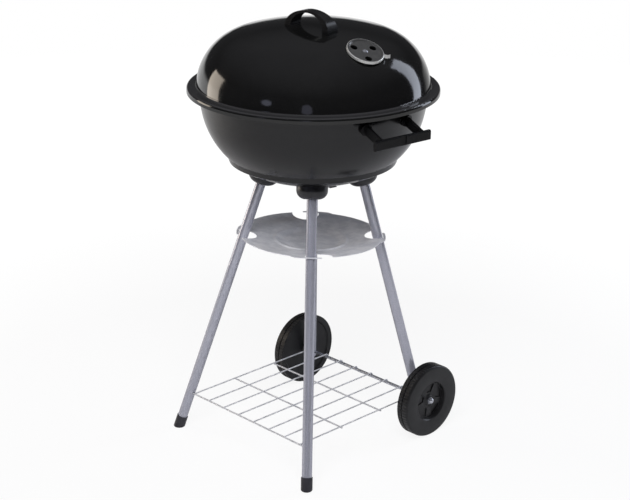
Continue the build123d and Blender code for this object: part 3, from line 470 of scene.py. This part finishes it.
def grow(name, group, values, body):
    """Runs a tree once and keeps its result as a plain mesh that rides on a body."""
    seed = bpy.data.objects.new(name + "_seed", bpy.data.meshes.new(name + "_seed"))
    bpy.context.scene.collection.objects.link(seed)
    modifier = seed.modifiers.new("rule", "NODES")
    modifier.node_group = group
    for item in group.interface.items_tree:
        if item.in_out == "INPUT" and item.name in values:
            modifier[item.identifier] = values[item.name]
    bpy.context.view_layer.update()
    grown = bpy.data.meshes.new_from_object(seed.evaluated_get(bpy.context.evaluated_depsgraph_get()))
    bpy.data.objects.remove(seed)
    grown.name = name
    piece = bpy.data.objects.new(name, grown)
    bpy.context.scene.collection.objects.link(piece)
    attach(piece, body)
    return piece


number, whole = "NodeSocketFloat", "NodeSocketInt"
vector, finish_kind = "NodeSocketVector", "NodeSocketMaterial"
sunk_wires = -1.85                  # of a wire's radius: crossed wires bite a little into each other
bead_shape = (1.25, 1.0, 0.7)       # of a round drop: drawn out along X and squashed


def chord_wires(group, count, pitch, radius, wire, turn_round):
    """Round wires side by side, each cut to the chord of a ring, with the whole row turned round Z."""
    gaps = add(group, "ShaderNodeMath", {1: 1.0}, {0: count}, operation="SUBTRACT")
    span = add(group, "ShaderNodeMath", links={0: gaps.outputs[0], 1: pitch}, operation="MULTIPLY")
    start = add(group, "ShaderNodeMath", {1: -0.5}, {0: span.outputs[0]}, operation="MULTIPLY")
    first = add(group, "ShaderNodeCombineXYZ", links={"X": start.outputs[0]})
    step = add(group, "ShaderNodeCombineXYZ", links={"X": pitch})
    row = add(group, "GeometryNodeMeshLine", links={
        "Count": count, "Start Location": first.outputs[0], "Offset": step.outputs[0]})
    bar = add(group, "GeometryNodeCurvePrimitiveLine", {"Start": (0, -1, 0), "End": (0, 1, 0)})
    spot = add(group, "GeometryNodeInputPosition")
    aside = add(group, "ShaderNodeSeparateXYZ", links={"Vector": spot.outputs[0]})
    squared = add(group, "ShaderNodeMath", {1: 2.0}, {0: aside.outputs["X"]}, operation="POWER")
    reach = add(group, "ShaderNodeMath", {1: 2.0}, {0: radius}, operation="POWER")
    left_over = add(group, "ShaderNodeMath", links={0: reach.outputs[0], 1: squared.outputs[0]},
                    operation="SUBTRACT")
    chord = add(group, "ShaderNodeMath", links={0: left_over.outputs[0]}, operation="SQRT")
    stretch = add(group, "ShaderNodeCombineXYZ", {"X": 1.0, "Z": 1.0}, {"Y": chord.outputs[0]})
    bars = add(group, "GeometryNodeInstanceOnPoints", links={
        "Points": row.outputs["Mesh"], "Instance": bar.outputs["Curve"], "Scale": stretch.outputs[0]})
    lines = add(group, "GeometryNodeRealizeInstances", links={"Geometry": bars.outputs[0]})
    section = add(group, "GeometryNodeCurvePrimitiveCircle", {"Resolution": 10}, {"Radius": wire})
    round_bars = add(group, "GeometryNodeCurveToMesh", {"Fill Caps": True},
                     {"Curve": lines.outputs[0], "Profile Curve": section.outputs["Curve"]})
    return add(group, "GeometryNodeTransform", {"Rotation": (0, 0, turn_round)},
               {"Geometry": round_bars.outputs[0]})


def grate_rule():
    """A hoop of wire, the bars welded across it, and two cross wires under the bars."""
    group, given, out = new_group("food_grate_rule", {
        "Ring Radius": number, "Ring Wire": number, "Bar Wire": number, "Bar Pitch": number, "Bars": whole,
        "Cross Pitch": number, "Height": number, "Finish": finish_kind})
    ring_radius = given["Ring Radius"]
    bar_wire = given["Bar Wire"]
    bars = chord_wires(group, given["Bars"], given["Bar Pitch"], ring_radius, bar_wire, 0)
    pair = add(group, "FunctionNodeInputInt", integer=2)
    cross = chord_wires(group, pair.outputs[0], given["Cross Pitch"], ring_radius, bar_wire, pi / 2)
    under = add(group, "ShaderNodeMath", {1: sunk_wires}, {0: bar_wire}, operation="MULTIPLY")
    sunk = add(group, "ShaderNodeCombineXYZ", links={"Z": under.outputs[0]})
    below = add(group, "GeometryNodeTransform", links={
        "Geometry": cross.outputs[0], "Translation": sunk.outputs[0]})
    hoop = add(group, "GeometryNodeCurvePrimitiveCircle", {"Resolution": 128}, {"Radius": ring_radius})
    section = add(group, "GeometryNodeCurvePrimitiveCircle", {"Resolution": 12},
                  {"Radius": given["Ring Wire"]})
    ring = add(group, "GeometryNodeCurveToMesh",
               links={"Curve": hoop.outputs["Curve"], "Profile Curve": section.outputs["Curve"]})
    joined = add(group, "GeometryNodeJoinGeometry")
    for part in (bars, below, ring):
        group.links.new(part.outputs[0], joined.inputs[0])
    lift = add(group, "ShaderNodeCombineXYZ", links={"Z": given["Height"]})
    placed = add(group, "GeometryNodeTransform", links={
        "Geometry": joined.outputs[0], "Translation": lift.outputs[0]})
    smooth = add(group, "GeometryNodeSetShadeSmooth", links={"Geometry": placed.outputs[0]})
    solid = add(group, "GeometryNodeRealizeInstances", links={"Geometry": smooth.outputs[0]})
    dressed = add(group, "GeometryNodeSetMaterial", links={
        "Geometry": solid.outputs[0], "Material": given["Finish"]})
    group.links.new(dressed.outputs[0], out.inputs[0])
    return group


def weld_rule():
    """A squashed bead of weld at every crossing of two rows of wires."""
    group, given, out = new_group("crossing_weld_rule", {
        "First": vector, "Across": number, "Along": number, "Columns": whole, "Rows": whole,
        "Bead": number, "Seed": whole, "Finish": finish_kind})
    side_gaps = add(group, "ShaderNodeMath", {1: 1.0}, {0: given["Columns"]}, operation="SUBTRACT")
    long_gaps = add(group, "ShaderNodeMath", {1: 1.0}, {0: given["Rows"]}, operation="SUBTRACT")
    wide = add(group, "ShaderNodeMath", links={0: side_gaps.outputs[0], 1: given["Across"]},
               operation="MULTIPLY")
    deep = add(group, "ShaderNodeMath", links={0: long_gaps.outputs[0], 1: given["Along"]},
               operation="MULTIPLY")
    grid = add(group, "GeometryNodeMeshGrid", links={
        "Size X": wide.outputs[0], "Size Y": deep.outputs[0],
        "Vertices X": given["Columns"], "Vertices Y": given["Rows"]})
    middle = add(group, "ShaderNodeCombineXYZ", links={"X": wide.outputs[0], "Y": deep.outputs[0]})
    half = add(group, "ShaderNodeVectorMath", {"Scale": 0.5}, {0: middle.outputs[0]}, operation="SCALE")
    origin = add(group, "ShaderNodeVectorMath", links={0: half.outputs[0], 1: given["First"]},
                 operation="ADD")
    spots = add(group, "GeometryNodeTransform", links={
        "Geometry": grid.outputs["Mesh"], "Translation": origin.outputs[0]})
    drop = add(group, "GeometryNodeMeshIcoSphere", {"Subdivisions": 2}, {"Radius": given["Bead"]})
    squashed = add(group, "GeometryNodeTransform", {"Scale": bead_shape}, {"Geometry": drop.outputs["Mesh"]})
    size = add(group, "FunctionNodeRandomValue", {"Min": (0.8, 0.8, 0.85), "Max": (1.2, 1.15, 1.05)},
               {"Seed": given["Seed"]}, data_type="FLOAT_VECTOR")
    beads = add(group, "GeometryNodeInstanceOnPoints", links={
        "Points": spots.outputs[0], "Instance": squashed.outputs[0], "Scale": size.outputs[0]})
    solid = add(group, "GeometryNodeRealizeInstances", links={"Geometry": beads.outputs[0]})
    smooth = add(group, "GeometryNodeSetShadeSmooth", links={"Geometry": solid.outputs[0]})
    dressed = add(group, "GeometryNodeSetMaterial", links={
        "Geometry": smooth.outputs[0], "Material": given["Finish"]})
    group.links.new(dressed.outputs[0], out.inputs[0])
    return group


# The wires' sizes are radii, and the height is that of the ring's middle.
food_bars = grow("food_grate_bars", grate_rule(), {
    "Ring Radius": 188.5 * mm, "Ring Wire": 2.5 * mm, "Bar Wire": 2.0 * mm, "Bar Pitch": 14.4 * mm,
    "Bars": 27, "Cross Pitch": 158.3 * mm, "Height": 630 * mm, "Finish": grate_chrome},
    "food_grate")
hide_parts("cooking_grate")

# The shelf's long wires, from the first to the last, are crossed by three others.
long_wires = 8
long_wire_span = 280.8
first_weld = (-140.4 * mm, -160.8 * mm, 70.9 * mm)
grow("shelf_welds", weld_rule(), {
    "First": first_weld, "Across": long_wire_span / (long_wires - 1) * mm, "Along": 99.8 * mm,
    "Columns": long_wires, "Rows": 3, "Bead": 1.9 * mm, "Seed": 3, "Finish": shelf_wire},
    "kettle_stand")
